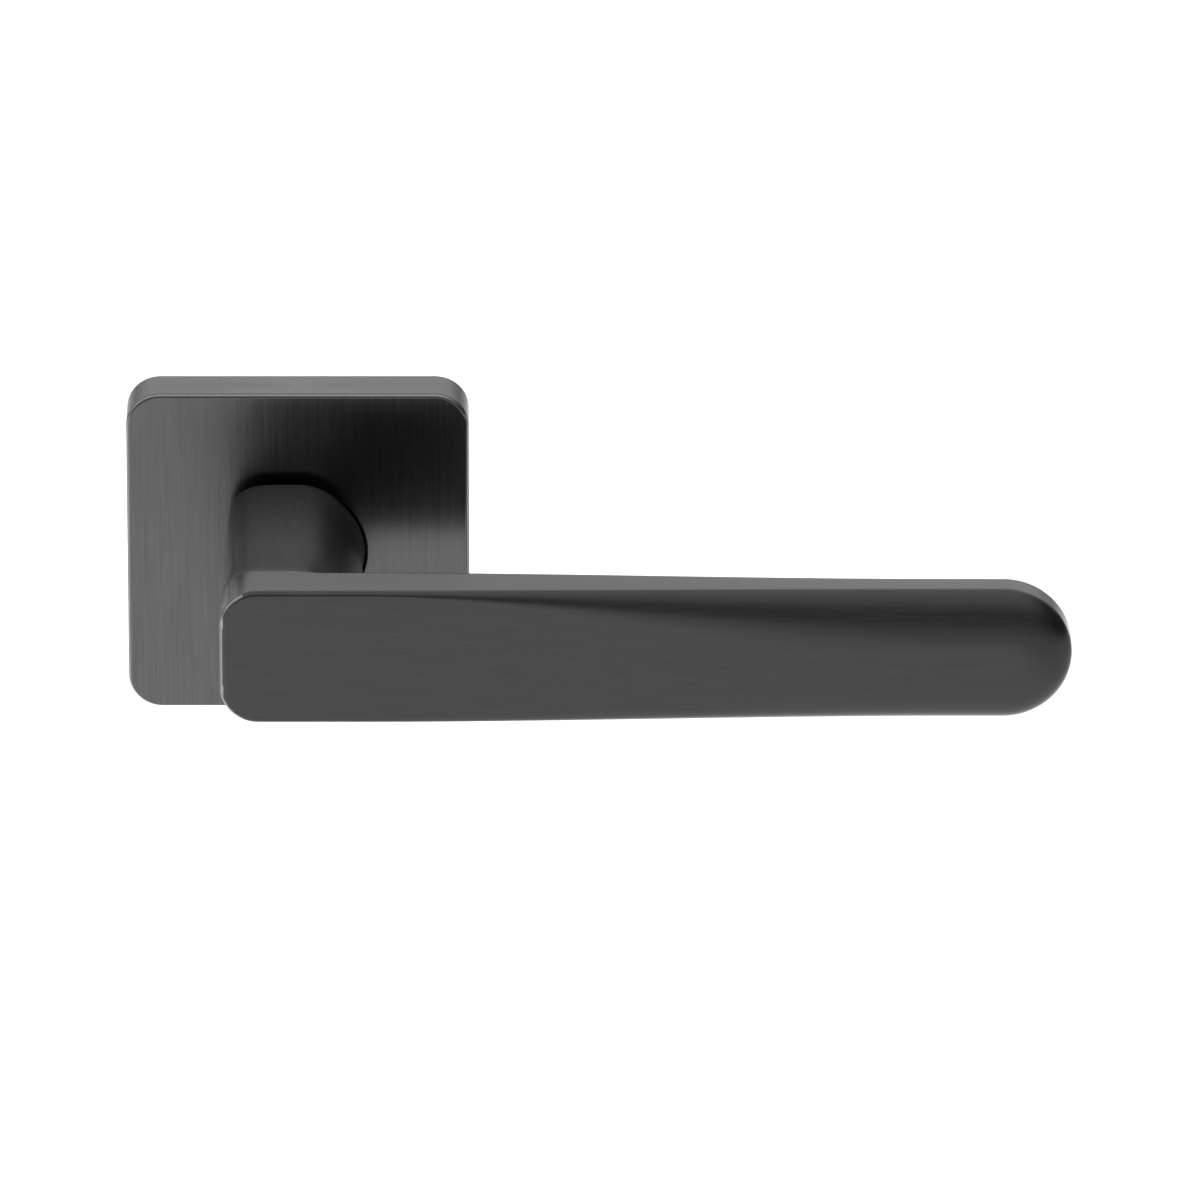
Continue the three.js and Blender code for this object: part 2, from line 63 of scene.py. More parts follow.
# ---------------------------------------------------------------- numbers

def lerp(a, b, share):
    return a + (b - a) * share


def smoothstep(x, low, high):
    share = min(1.0, max(0.0, (x - low) / (high - low)))
    return share * share * (3 - 2 * share)


def steps(count):
    """Shares from 0 to 1, both ends included."""
    return [i / count for i in range(count + 1)]


def quarter(count):
    """Angles from 0 to a right angle, both ends included."""
    return [math.pi / 2 * share for share in steps(count)]


def edge_fall(distance, across, deep):
    """How far a rounded edge has fallen, at a distance in from the outline."""
    if distance >= across:
        return 0.0
    return deep * (1 - math.sqrt(max(0.0, 1 - (1 - max(0.0, distance) / across) ** 2)))


# ---------------------------------------------------------------- meshes

SMOOTH_ANGLE = math.radians(40)
SAME_POINT = 1e-7
TURNED_SIDES = 96
# A shape that cuts another reaches this far past it.
PAST = 1.0
# Edges are worn, and lightened to paint a highlight line, where their faces look this far to the front.
WORN_HIGHLIGHT_MOST, WORN_HIGHLIGHT_LEAST = -0.88, -0.5


def closed_mesh(name, points, faces):
    """A mesh with doubled points merged and every face turned outwards."""
    mesh = bpy.data.meshes.new(name)
    mesh.from_pydata([tuple(point) for point in points], [], faces)
    shaped = bmesh.new()
    shaped.from_mesh(mesh)
    bmesh.ops.remove_doubles(shaped, verts=shaped.verts, dist=SAME_POINT)
    bmesh.ops.recalc_face_normals(shaped, faces=shaped.faces)
    shaped.to_mesh(mesh)
    shaped.free()
    return mesh


def new_piece(name, points, faces, material):
    """A piece of one material, shaded smooth between its sharp edges."""
    mesh = closed_mesh(name, points, faces)
    piece = bpy.data.objects.new(name, mesh)
    bpy.context.scene.collection.objects.link(piece)
    mesh.materials.append(material)
    mesh.shade_smooth()
    mesh.set_sharp_from_angle(angle=SMOOTH_ANGLE)
    flat_first = piece.modifiers.new("flat_first", "WEIGHTED_NORMAL")
    flat_first.keep_sharp = True
    return piece


def skin(rings, close_ends=True):
    """Points and faces of rings skinned one to the next."""
    count = len(rings[0])
    points = [point for ring in rings for point in ring]
    faces = []
    for r in range(len(rings) - 1):
        for i in range(count):
            a, b = r * count + i, r * count + (i + 1) % count
            faces.append((a, b, b + count, a + count))
    if close_ends:
        last = (len(rings) - 1) * count
        faces.append(tuple(reversed(range(count))))
        faces.append(tuple(range(last, last + count)))
    return points, faces


def wear_and_highlight_front_edges(piece, right_end):
    """Gives the middle of the rounded front edges, left of right_end, the worn metal, lightened to paint
    their highlight line.
    """
    mesh = piece.data
    mesh.materials.append(worn_edge_painted_highlight)
    # The middle of each rounded front edge gets the worn metal, which carries a painted highlight.
    for face in mesh.polygons:
        if face.center.x < right_end * MM and WORN_HIGHLIGHT_MOST < face.normal.y < WORN_HIGHLIGHT_LEAST:
            face.material_index = 1


def block(low, high):
    """Points and faces of a box between two corners."""
    rings = []
    for y in (low[1], high[1]):
        corners = [(low[0], low[2]), (high[0], low[2]), (high[0], high[2]), (low[0], high[2])]
        rings.append([(x * MM, y * MM, z * MM) for x, z in corners])
    return skin(rings)


def turned(profile, place, sides=TURNED_SIDES, first=0.0):
    """A profile of (radius, distance) turned round a line: place gives the point on each of its turns.

    The turns start at first, a share of the step from one to the next.
    """
    turns = [2 * math.pi * (i + first) / sides for i in range(sides)]
    rings = []
    for radius, along in profile:
        rings.append([place(radius * math.sin(a), radius * math.cos(a), along) for a in turns])
    return skin(rings)


def along_y(across, up, along):
    """The point of a shape turned round the axis."""
    return across * MM, along * MM, up * MM


def apply_boolean(piece, points_and_faces, operation):
    """Joins on or cuts away another closed mesh."""
    tool = bpy.data.objects.new("tool", closed_mesh("tool", *points_and_faces))
    bpy.context.scene.collection.objects.link(tool)
    modifier = piece.modifiers.new(operation, "BOOLEAN")
    modifier.object = tool
    modifier.operation = operation
    modifier.solver = "EXACT"
    graph = bpy.context.evaluated_depsgraph_get()
    result = bpy.data.meshes.new_from_object(piece.evaluated_get(graph))
    piece.modifiers.remove(modifier)
    result.shade_smooth()
    result.set_sharp_from_angle(angle=SMOOTH_ANGLE)
    piece.data = result
    bpy.data.objects.remove(tool)


# ---------------------------------------------------------------- node materials

# Nearly all noise lies between these values.
NOISE_LOW, NOISE_HIGH = 0.3, 0.7
NOISE_ROUGHNESS = 0.6
# Noise scales: the higher, the finer.
ALONG_BRUSH = 90
ACROSS_BRUSH = 5200
WORN_HIGHLIGHT_GRAIN = (900, 900, 900)
SATIN_CLOUD = (60, 60, 60)
CAST_CLOUD = (90, 90, 90)
NYLON_GRAIN = (2600, 2600, 2600)
NYLON_CLOUD = (140, 140, 140)
FLOOR_CLOUD = (2, 2, 2)
# Nickel's blue, as a share of its red and green.
NICKEL_BLUE = 1.01
LACQUER_ROUGHNESS = 0.2
LACQUER_IOR = 1.5


def node(tree, kind, **values):
    """A new node with its settings."""
    made = tree.nodes.new(kind)
    for name, value in values.items():
        setattr(made, name, value)
    return made


def noise(tree, scale, detail):
    """Noise with a scale along each axis, drawn out into brush lines where one is much smaller."""
    place = node(tree, "ShaderNodeTexCoord")
    mapping = node(tree, "ShaderNodeMapping")
    mapping.inputs["Scale"].default_value = scale
    tree.links.new(place.outputs["Object"], mapping.inputs["Vector"])
    made = node(tree, "ShaderNodeTexNoise")
    made.inputs["Scale"].default_value = 1.0
    made.inputs["Detail"].default_value = detail
    made.inputs["Roughness"].default_value = NOISE_ROUGHNESS
    tree.links.new(mapping.outputs["Vector"], made.inputs["Vector"])
    return made.outputs["Fac"]


def ranged(tree, value, low, high, from_low=NOISE_LOW, from_high=NOISE_HIGH):
    """A value moved into the range from low to high."""
    made = node(tree, "ShaderNodeMapRange")
    made.inputs["From Min"].default_value = from_low
    made.inputs["From Max"].default_value = from_high
    made.inputs["To Min"].default_value = low
    made.inputs["To Max"].default_value = high
    tree.links.new(value, made.inputs["Value"])
    return made.outputs["Result"]


def varied(tree, value, colour, darkest, lightest):
    """A colour that goes from one share of itself to another."""
    made = node(tree, "ShaderNodeValToRGB")
    ends = ((NOISE_LOW, darkest), (NOISE_HIGH, lightest))
    for element, (position, share) in zip(made.color_ramp.elements, ends):
        element.position = position
        element.color = (*(channel * share for channel in colour), 1)
    tree.links.new(value, made.inputs["Fac"])
    return made.outputs["Color"]


def bump(tree, value, strength, distance):
    """Normals that follow a value as a height."""
    made = node(tree, "ShaderNodeBump")
    made.inputs["Strength"].default_value = strength
    made.inputs["Distance"].default_value = distance
    tree.links.new(value, made.inputs["Height"])
    return made.outputs["Normal"]


def shader_material(name):
    """A material, its node tree and its shader node."""
    material = bpy.data.materials.new(name)
    material.use_nodes = True
    tree = material.node_tree
    return material, tree, tree.nodes["Principled BSDF"]


def satin(name, brush, axis, level, roughness, spread, smear=0.8, lacquer=0.0):
    """Dark nickel, brushed: brush is the noise scale along X, Y and Z, small along the brush lines.

    The brush lines smear reflections across themselves, round the given axis.
    """
    material, tree, shader = shader_material(name)
    lines = noise(tree, brush, detail=4.0)
    cloud = noise(tree, SATIN_CLOUD, detail=2.0)
    colour = varied(tree, lines, (level, level, level * NICKEL_BLUE), darkest=0.88, lightest=1.12)
    tree.links.new(colour, shader.inputs["Base Color"])
    mixed = node(tree, "ShaderNodeMath", operation="ADD")
    tree.links.new(ranged(tree, lines, roughness - spread, roughness + spread), mixed.inputs[0])
    tree.links.new(ranged(tree, cloud, low=-0.015, high=0.015), mixed.inputs[1])
    tree.links.new(mixed.outputs["Value"], shader.inputs["Roughness"])
    shader.inputs["Metallic"].default_value = 1.0
    shader.inputs["Anisotropic"].default_value = smear
    shader.inputs["Coat Weight"].default_value = lacquer
    shader.inputs["Coat Roughness"].default_value = LACQUER_ROUGHNESS
    shader.inputs["Coat IOR"].default_value = LACQUER_IOR
    across = node(tree, "ShaderNodeTangent", direction_type="RADIAL", axis=axis)
    tree.links.new(across.outputs["Tangent"], shader.inputs["Tangent"])
    tree.links.new(bump(tree, lines, strength=0.14, distance=0.02 * MM), shader.inputs["Normal"])
    return material


def cast_metal(name, colour, roughness, grain, depth):
    """Die-cast or plated metal with a fine all-round grain."""
    material, tree, shader = shader_material(name)
    speck = noise(tree, (grain, grain, grain), detail=5.0)
    cloud = noise(tree, CAST_CLOUD, detail=3.0)
    tree.links.new(varied(tree, cloud, colour, darkest=0.86, lightest=1.08), shader.inputs["Base Color"])
    tree.links.new(ranged(tree, speck, roughness - 0.07, roughness + 0.09), shader.inputs["Roughness"])
    shader.inputs["Metallic"].default_value = 1.0
    tree.links.new(bump(tree, speck, strength=0.25, distance=depth * MM), shader.inputs["Normal"])
    return material


def moulded(name, colour, roughness):
    """Moulded nylon with a faint spark-eroded texture."""
    material, tree, shader = shader_material(name)
    grain = noise(tree, NYLON_GRAIN, detail=2.0)
    cloud = noise(tree, NYLON_CLOUD, detail=2.0)
    tree.links.new(varied(tree, cloud, colour, darkest=0.8, lightest=1.25), shader.inputs["Base Color"])
    tree.links.new(ranged(tree, grain, roughness - 0.06, roughness + 0.08), shader.inputs["Roughness"])
    tree.links.new(bump(tree, grain, strength=0.3, distance=0.03 * MM), shader.inputs["Normal"])
    return material


lever_metal = satin("lever_metal", (ALONG_BRUSH, ACROSS_BRUSH, ACROSS_BRUSH), "X",
                    level=0.068, roughness=0.23, spread=0.05, smear=0.55, lacquer=0.8)
neck_metal = satin("neck_metal", (ACROSS_BRUSH, ALONG_BRUSH, ACROSS_BRUSH), "X",
                   level=0.11, roughness=0.4, spread=0.03)
rose_metal = satin("rose_metal", (ACROSS_BRUSH, ACROSS_BRUSH, ALONG_BRUSH), "Z",
                   level=0.18, roughness=0.22, spread=0.02)
# Worn edge metal. Its level sits far above the rose's and paints a bright highlight line along the rounded
# edges.
worn_edge_painted_highlight = satin("worn_edge_painted_highlight", WORN_HIGHLIGHT_GRAIN, "Z", level=0.42, roughness=0.24, spread=0.08)
zinc = cast_metal("zinc", (0.46, 0.47, 0.48), roughness=0.42, grain=1800, depth=0.03)
plated_steel = cast_metal("plated_steel", (0.56, 0.56, 0.57), roughness=0.27, grain=3200, depth=0.01)
spring_steel = cast_metal("spring_steel", (0.27, 0.275, 0.28), roughness=0.3, grain=3000, depth=0.01)
nylon = moulded("nylon", (0.016, 0.016, 0.017), roughness=0.5)


# ---------------------------------------------------------------- lever

lever_low, lever_high = (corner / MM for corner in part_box("lever"))
spindle_low, spindle_high = (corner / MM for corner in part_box("spindle"))
cover_low, cover_high = (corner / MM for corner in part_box("rose_cover"))
rotor_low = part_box("rotor")[0] / MM
circlip_low, circlip_high = (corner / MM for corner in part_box("circlip"))
grub_low, grub_high = (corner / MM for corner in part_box("grub_screw"))

HEEL = lever_low.x
TIP = lever_high.x
TIP_THICKNESS = 9.6
LEVER_MIDDLE = lever_low.y + TIP_THICKNESS / 2
HEEL_HEIGHT = 21.2
HEEL_THICKNESS = 6.8
HEEL_CORNER = 5.5
HEEL_EDGE = 0.8
HEEL_LEAN = 0.35
TIP_HEIGHT = 20.0
TIP_EDGE_ACROSS = 4.5
TIP_EDGE_DEEP = 3.4
CROWN_ACROSS = 10.0
SWELL_START = 10.0
SWELL_END = 95.0
TIP_RADIUS = TIP_HEIGHT / 2
TIP_SPARE = 0.002
LEVER_BACK = LEVER_MIDDLE + HEEL_THICKNESS / 2
# How far in from the heel the worn front edge, with its painted highlight line, reaches.
WORN_HIGHLIGHT_HEEL = 3.5
# A rounded edge takes at most this share of the height from the middle to the outline.
MOST_OF_HEIGHT = 0.9
EDGE_STEPS = 14
FACE_STEPS = 7
HEEL_EDGE_STEPS = 8
HEEL_CORNER_STEPS = 24
LENGTH_STEPS = 60
TIP_STEPS = 36

JOURNAL_RADIUS = 8.0
JOURNAL_CHAMFER = 0.4
GROOVE_RADIUS = 7.0
GROOVE_PLAY = 0.2
FLAT = 6.5
FIT = 0.3
BORE_PLAY = 0.25
BORE_SPARE = 0.5
GRUB_HOLE = 2.8
GRUB_SIDES = 64
NECK_GAP = 2.2
NECK_REAR = cover_low.y - NECK_GAP
NECK_REAR_HEIGHT = lever_high.z - lever_low.z
NECK_LEVER_HEIGHT = 20.0
NECK_RIGHT = 9.5
NECK_LEFT = 10.2
NECK_SQUARENESS = 4.5
NECK_EDGE = 0.6
NECK_FLOW = 9.0
NECK_PARTING = 4.0
NECK_SUNK = 0.4
NECK_TUCK = 0.05
NECK_SIDES = 144
NECK_EDGE_STEPS = 8
NECK_STEPS = 24
JOURNAL_SUNK = 1.0
SEARCH_STEP = 6.0
SEARCH_END = 1e-4
ROUNDING_ERROR = 1e-9


def swell(x):
    """How far the lever has gone from its shape at the heel to its shape at the tip."""
    return smoothstep(x, SWELL_START, SWELL_END)


def half_height(x):
    return lerp(HEEL_HEIGHT, TIP_HEIGHT, swell(x)) / 2


def half_thickness(x):
    return lerp(HEEL_THICKNESS, TIP_THICKNESS, swell(x)) / 2


def past_corner(x):
    """The rounded corner's radius at the nearer end, and how far x is into that corner."""
    if x < (HEEL + TIP) / 2:
        return HEEL_CORNER, max(0.0, HEEL + HEEL_CORNER - x)
    return TIP_RADIUS, max(0.0, x - TIP + TIP_RADIUS)


def outline_height(x):
    corner, past = past_corner(x)
    return half_height(x) - corner + math.sqrt(max(0.0, corner ** 2 - past ** 2))


def inside_by(x, z):
    """Distance in from the lever's outline, seen from the front."""
    corner, past = past_corner(x)
    return corner - math.hypot(past, max(0.0, abs(z) - half_height(x) + corner))


def lever_ring(x):
    """One ring of the lever: down its front and up its back."""
    height = outline_height(x)
    across = lerp(HEEL_EDGE, TIP_EDGE_ACROSS, swell(x))
    deep = lerp(HEEL_EDGE, TIP_EDGE_DEEP, swell(x))
    crown = lerp(HEEL_EDGE, CROWN_ACROSS, swell(x))
    upper = min(crown, MOST_OF_HEIGHT * height)
    lower = min(across, MOST_OF_HEIGHT * height)
    heights = [height - upper * (1 - math.cos(a)) for a in quarter(EDGE_STEPS)]
    heights += [lerp(height - upper, lower - height, share) for share in steps(FACE_STEPS)[1:-1]]
    heights += [lower * (1 - math.cos(a)) - height for a in reversed(quarter(EDGE_STEPS))]
    lean = HEEL_LEAN * (1 - swell(x))
    free = smoothstep(x, 0.0, NECK_PARTING)
    front, back = [], []
    for z in heights:
        inside = inside_by(x, z)
        width = lerp(across, crown, smoothstep(z, -TIP_RADIUS / 2, TIP_RADIUS / 2))
        front_y = LEVER_MIDDLE - half_thickness(x) + edge_fall(inside, width, deep)
        front_z = z - lean * max(0.0, z / height)
        back_y = LEVER_MIDDLE + half_thickness(x) - free * edge_fall(inside, across, deep)
        front.append((x * MM, front_y * MM, front_z * MM))
        back.append((x * MM, back_y * MM, z * MM))
    return front + back[::-1]


def lever_places():
    """Places along the lever, close together round its ends."""
    heel_edge = [HEEL + HEEL_EDGE * (1 - math.cos(a)) for a in quarter(HEEL_EDGE_STEPS)]
    heel_corner = [HEEL + HEEL_CORNER * (1 - math.cos(a)) for a in quarter(HEEL_CORNER_STEPS)]
    straight_start, straight_end = HEEL + HEEL_CORNER, TIP - TIP_RADIUS
    places = heel_edge + [place for place in heel_corner if place > heel_edge[-1]]
    places += [lerp(straight_start, straight_end, share) for share in steps(LENGTH_STEPS)[1:]]
    places += [straight_end + TIP_RADIUS * math.sin(a) for a in quarter(TIP_STEPS)[1:-1]]
    places.append(TIP - TIP_SPARE)
    return places


def heel_outline(angle):
    """The point of the lever's left end on a line from the axis, seen from the front."""
    reach = 0.0
    step = SEARCH_STEP
    while step > SEARCH_END:
        x, z = (reach + step) * math.cos(angle), (reach + step) * math.sin(angle)
        corner_x = max(0.0, abs(x) + HEEL + HEEL_CORNER)
        corner_z = max(0.0, abs(z) - half_height(HEEL) + HEEL_CORNER)
        if math.hypot(corner_x, corner_z) < HEEL_CORNER:
            reach += step
        else:
            step /= 2
    return reach * math.cos(angle), reach * math.sin(angle)


def neck_ring(y, inset):
    """One ring of the neck: an ellipse on the right, a squarer curve on the left.

    Near the lever, the left side flows into the outline of the lever's end.
    """
    share = min(1.0, (NECK_REAR - y) / (NECK_REAR - LEVER_BACK))
    height = lerp(NECK_REAR_HEIGHT, NECK_LEVER_HEIGHT, share) / 2 - inset
    joining = smoothstep(-y, -LEVER_BACK - NECK_FLOW, -LEVER_BACK)
    kept = 1 - inset / TIP_RADIUS
    ring = []
    for i in range(NECK_SIDES):
        cosine = math.cos(2 * math.pi * i / NECK_SIDES)
        sine = math.sin(2 * math.pi * i / NECK_SIDES)
        power = 2 / NECK_SQUARENESS if cosine < -ROUNDING_ERROR else 1
        width = (NECK_RIGHT if cosine > 0 else NECK_LEFT) - inset
        x = math.copysign(abs(cosine) ** power, cosine) * width
        z = math.copysign(abs(sine) ** power, sine) * height
        flow = joining * (1 - smoothstep(x, 0.0, NECK_PARTING))
        if flow > 0:
            heel_x, heel_z = heel_outline(math.atan2(z, x))
            x, z = lerp(x, heel_x * kept, flow), lerp(z, heel_z * kept, flow)
        ring.append((x * MM, y * MM, z * MM))
    return ring


def journal_profile():
    """The journal behind the neck, with the groove of its circlip."""
    groove_front, groove_back = circlip_low.y - GROOVE_PLAY, circlip_high.y + GROOVE_PLAY
    return [
        (JOURNAL_RADIUS, NECK_REAR - JOURNAL_SUNK),
        (JOURNAL_RADIUS, groove_front),
        (GROOVE_RADIUS, groove_front),
        (GROOVE_RADIUS, groove_back),
        (JOURNAL_RADIUS, groove_back),
        (JOURNAL_RADIUS, lever_high.y - JOURNAL_CHAMFER),
        (JOURNAL_RADIUS - JOURNAL_CHAMFER, lever_high.y),
    ]


def make_lever():
    """The flat lever, from its square heel to its round tip."""
    grip = new_piece("lever_grip", *skin([lever_ring(x) for x in lever_places()]), lever_metal)
    # The heel's worn front edge carries a painted highlight line.
    wear_and_highlight_front_edges(grip, HEEL + WORN_HIGHLIGHT_HEEL)
    return grip


def make_neck():
    """The neck and its journal, with the square bore, the two flats and the grub screw's hole."""
    rings = []
    for angle in quarter(NECK_EDGE_STEPS):
        inset = NECK_EDGE * (1 - math.sin(angle))
        rings.append(neck_ring(NECK_REAR - NECK_EDGE * (1 - math.cos(angle)), inset))
    rings += [neck_ring(lerp(NECK_REAR - NECK_EDGE, LEVER_BACK, share), 0) for share in steps(NECK_STEPS)[1:]]
    rings += [neck_ring(LEVER_BACK - NECK_TUCK, NECK_SUNK), neck_ring(LEVER_MIDDLE, NECK_SUNK)]
    neck = new_piece("lever_neck", *skin(rings), neck_metal)
    apply_boolean(neck, turned(journal_profile(), along_y), "UNION")

    bore = spindle_high.x + BORE_PLAY
    bore_end = spindle_low.y - BORE_SPARE
    past_end = lever_high.y + PAST
    apply_boolean(neck, block((-bore, bore_end, -bore), (bore, past_end, bore)), "DIFFERENCE")
    wide = JOURNAL_RADIUS + PAST
    for low, high in ((FLAT, wide), (-wide, -FLAT)):
        apply_boolean(neck, block((-wide, rotor_low.y - FIT, low), (wide, past_end, high)), "DIFFERENCE")

    grub_middle = (grub_low + grub_high) / 2

    def up_into_neck(across, up, along):
        return across * MM, (grub_middle.y + up) * MM, along * MM

    # Half a step keeps the hole's corners off the row of points along the neck's underside.
    hole = [(GRUB_HOLE, -NECK_REAR_HEIGHT), (GRUB_HOLE, 0)]
    apply_boolean(neck, turned(hole, up_into_neck, GRUB_SIDES, first=0.5), "DIFFERENCE")

    neck.data.materials.append(lever_metal)
    for face in neck.data.polygons:
        if face.center.y < LEVER_BACK * MM:
            face.material_index = 1
    return neck


grip = make_lever()
neck = make_neck()
for part in (grip, neck):
    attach(part, "lever")
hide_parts("lever")


# ---------------------------------------------------------------- rose cover

ROSE_CORNER = 5.0
ROSE_EDGE = 0.6
REAR_EDGE = 0.15
COVER_WALL = 1.5
COVER_HOLE = 10.0
HOLE_EDGE = 0.3
HOLE_EDGE_MIDDLE = 0.08
CORNER_STEPS = 24
SIDE_STEPS = 25
COVER_EDGE_STEPS = 8


def square_outline(half, corner, y):
    """One ring of a square with round corners, with points along its sides too."""
    straight = half - corner
    middles = [(straight, straight), (-straight, straight), (-straight, -straight), (straight, -straight)]
    ring = []
    for turn, (x, z) in enumerate(middles):
        for angle in quarter(CORNER_STEPS):
            out_x = corner * math.cos(angle + turn * math.pi / 2)
            out_z = corner * math.sin(angle + turn * math.pi / 2)
            ring.append((x + out_x, z + out_z))
        next_x, next_z = middles[(turn + 1) % len(middles)]
        for share in steps(SIDE_STEPS)[1:-1]:
            ring.append((lerp(x, next_x, share) + out_x, lerp(z, next_z, share) + out_z))
    return [(x * MM, y * MM, z * MM) for x, z in ring]


def make_cover():
    """A shallow square pan, open to the rear, with a round hole for the journal."""
    half = cover_high.x
    front = cover_low.y
    inner, inner_corner = half - COVER_WALL, ROSE_CORNER - COVER_WALL
    rings = [
        square_outline(inner, inner_corner, 0),
        square_outline(half - REAR_EDGE, ROSE_CORNER, 0),
        square_outline(half, ROSE_CORNER, -REAR_EDGE),
    ]
    for angle in quarter(COVER_EDGE_STEPS):
        inset = ROSE_EDGE * (1 - math.cos(angle))
        y = front + ROSE_EDGE * (1 - math.sin(angle))
        rings.append(square_outline(half - inset, ROSE_CORNER - inset, y))

    def hole_ring(radius, y):
        ring = []
        for x, _, z in rings[0]:
            away = math.hypot(x, z)
            ring.append((x / away * radius * MM, y * MM, z / away * radius * MM))
        return ring

    rings += [
        hole_ring(COVER_HOLE + HOLE_EDGE, front),
        hole_ring(COVER_HOLE + HOLE_EDGE_MIDDLE, front + HOLE_EDGE_MIDDLE),
        hole_ring(COVER_HOLE, front + HOLE_EDGE),
        hole_ring(COVER_HOLE, front + COVER_WALL),
        square_outline(inner, inner_corner, front + COVER_WALL),
        rings[0],
    ]
    piece = new_piece("cover", *skin(rings, close_ends=False), rose_metal)
    # The worn front edge, all the way round, carries a painted highlight line.
    wear_and_highlight_front_edges(piece, half)
    return piece


cover = make_cover()
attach(cover, "rose")
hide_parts("rose_cover")


# ---------------------------------------------------------------- bolts and wood screws

THREAD_SIDES = 32
THREAD_ROWS = 6
BOLT = {"radius": 2.0, "pitch": 0.7, "deep": 0.4, "start": 11.0, "point": 0.0}
WOOD_SCREW = {"radius": 1.75, "pitch": 1.5, "deep": 0.5, "start": 1.0, "point": 4.0}
TIP_OF_POINT = 0.2
END_CHAMFER = 0.5
# The recess, as shares of the head.
RECESS_REACH = 0.55
RECESS_WIDTH = 0.13
RECESS_DEPTH = 0.8


def thread_radius(kind, y, end, turn):
    """The radius at a distance along a screw that stops at end, at a share of a turn round it."""
    radius = kind["radius"]
    widest = min(radius, end - y + radius - END_CHAMFER)
    if kind["point"]:
        widest = lerp(TIP_OF_POINT, radius, min(1.0, (end - y) / kind["point"]))
    pitches = (y - kind["start"]) / kind["pitch"]
    deep = kind["deep"] * min(1.0, pitches) * widest / radius
    return widest - deep * abs(2 * ((pitches - turn) % 1) - 1)


def threaded_screw(name, kind):
    """A countersunk screw with a crossed recess, its shank threaded up to a flat or a pointed end."""
    low, high = (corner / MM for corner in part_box(name))
    middle = (low + high) / 2
    head = (high.x - low.x) / 2
    radius, start = kind["radius"], kind["start"]
    turns = [i / THREAD_SIDES for i in range(THREAD_SIDES)]

    def ring(y, radii):
        points = []
        for turn, reach in zip(turns, radii):
            x = middle.x + reach * math.sin(2 * math.pi * turn)
            z = middle.z + reach * math.cos(2 * math.pi * turn)
            points.append((x * MM, y * MM, z * MM))
        return points

    def round_ring(y, reach):
        return ring(y, [reach] * THREAD_SIDES)

    head_end = low.y + head - radius
    rings = [round_ring(low.y, head), round_ring(head_end, radius), round_ring(start, radius)]
    rows = int((high.y - start) / kind["pitch"] * THREAD_ROWS)
    for share in steps(rows)[1:-1]:
        y = lerp(start, high.y, share)
        rings.append(ring(y, [thread_radius(kind, y, high.y, turn) for turn in turns]))
    rings.append(round_ring(high.y, TIP_OF_POINT if kind["point"] else radius - END_CHAMFER))
    piece = new_piece(name + "_threaded", *skin(rings), plated_steel)

    reach, width = head * RECESS_REACH, head * RECESS_WIDTH
    recess_end = low.y + (head - radius) * RECESS_DEPTH
    for wide, tall in ((reach, width), (width, reach)):
        near = (middle.x - wide, low.y - PAST, middle.z - tall)
        far = (middle.x + wide, recess_end, middle.z + tall)
        apply_boolean(piece, block(near, far), "DIFFERENCE")
    return piece


for side in ("left", "right"):
    for name, kind in (("through_bolt_" + side, BOLT), ("wood_screw_" + side, WOOD_SCREW)):
        screw = threaded_screw(name, kind)
        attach(screw, "rose")
        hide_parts(name)


# ---------------------------------------------------------------- springs

SPRING_TURNS = 11
SPRING_WIRE = 0.5
SPRING_RADIUS = 14.1
# Each spring's tab end and wall end, in degrees from +Z towards +X.
SPRING_ARCS = {"spring_upper": (-27.0, 61.0), "spring_lower": (153.0, 241.0)}
COIL_STEPS = 24
WIRE_SIDES = 12
NEARBY = 1e-4


def coiled_spring(name, tab_end, wall_end):
    """A coil along an arc round the axis, from its tab end to its wall end."""
    low, high = (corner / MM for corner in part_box(name))
    middle = (low.y + high.y) / 2
    coil = (high.y - low.y - SPRING_WIRE) / 2

    def along_arc(share, reach=0.0, lift=0.0):
        angle = math.radians(lerp(tab_end, wall_end, share))
        away = SPRING_RADIUS + reach
        return Vector((away * math.sin(angle), middle + lift, away * math.cos(angle)))

    def on_coil(share, radius):
        phase = 2 * math.pi * SPRING_TURNS * share
        return along_arc(share, radius * math.cos(phase), radius * math.sin(phase))

    rings = []
    for share in steps(SPRING_TURNS * COIL_STEPS):
        centre = on_coil(share, coil)
        outward = (centre - along_arc(share)).normalized()
        before, after = on_coil(share - NEARBY, coil), on_coil(share + NEARBY, coil)
        forward = (after - before).normalized()
        sideways = forward.cross(outward).normalized()
        ring = []
        for i in range(WIRE_SIDES):
            angle = 2 * math.pi * i / WIRE_SIDES
            point = centre + (outward * math.cos(angle) + sideways * math.sin(angle)) * SPRING_WIRE / 2
            ring.append(tuple(point * MM))
        rings.append(ring)
    piece = new_piece(name + "_coiled", *skin(rings), spring_steel)
    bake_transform(piece)
    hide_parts(name)
    return piece


for name, (tab_end, wall_end) in SPRING_ARCS.items():
    coiled_spring(name, tab_end, wall_end)


# ---------------------------------------------------------------- CAD nodes that stay

SAME_CAD_POINT = 1e-6
SOFT_EDGE = 0.12
FINE_EDGE = 0.05


def dress(name, material, edge=SOFT_EDGE):
    """A CAD node with its own material and softened edges."""
    piece = nodes[name]
    piece.data.materials.clear()
    piece.data.materials.append(material)
    joined = piece.modifiers.new("joined_points", "WELD")
    joined.merge_threshold = SAME_CAD_POINT
    softened = piece.modifiers.new("soft_edges", "BEVEL")
    softened.width = edge * MM
    softened.segments = 2
    softened.limit_method = "ANGLE"
    softened.angle_limit = SMOOTH_ANGLE
    flat_first = piece.modifiers.new("flat_first", "WEIGHTED_NORMAL")
    flat_first.keep_sharp = True


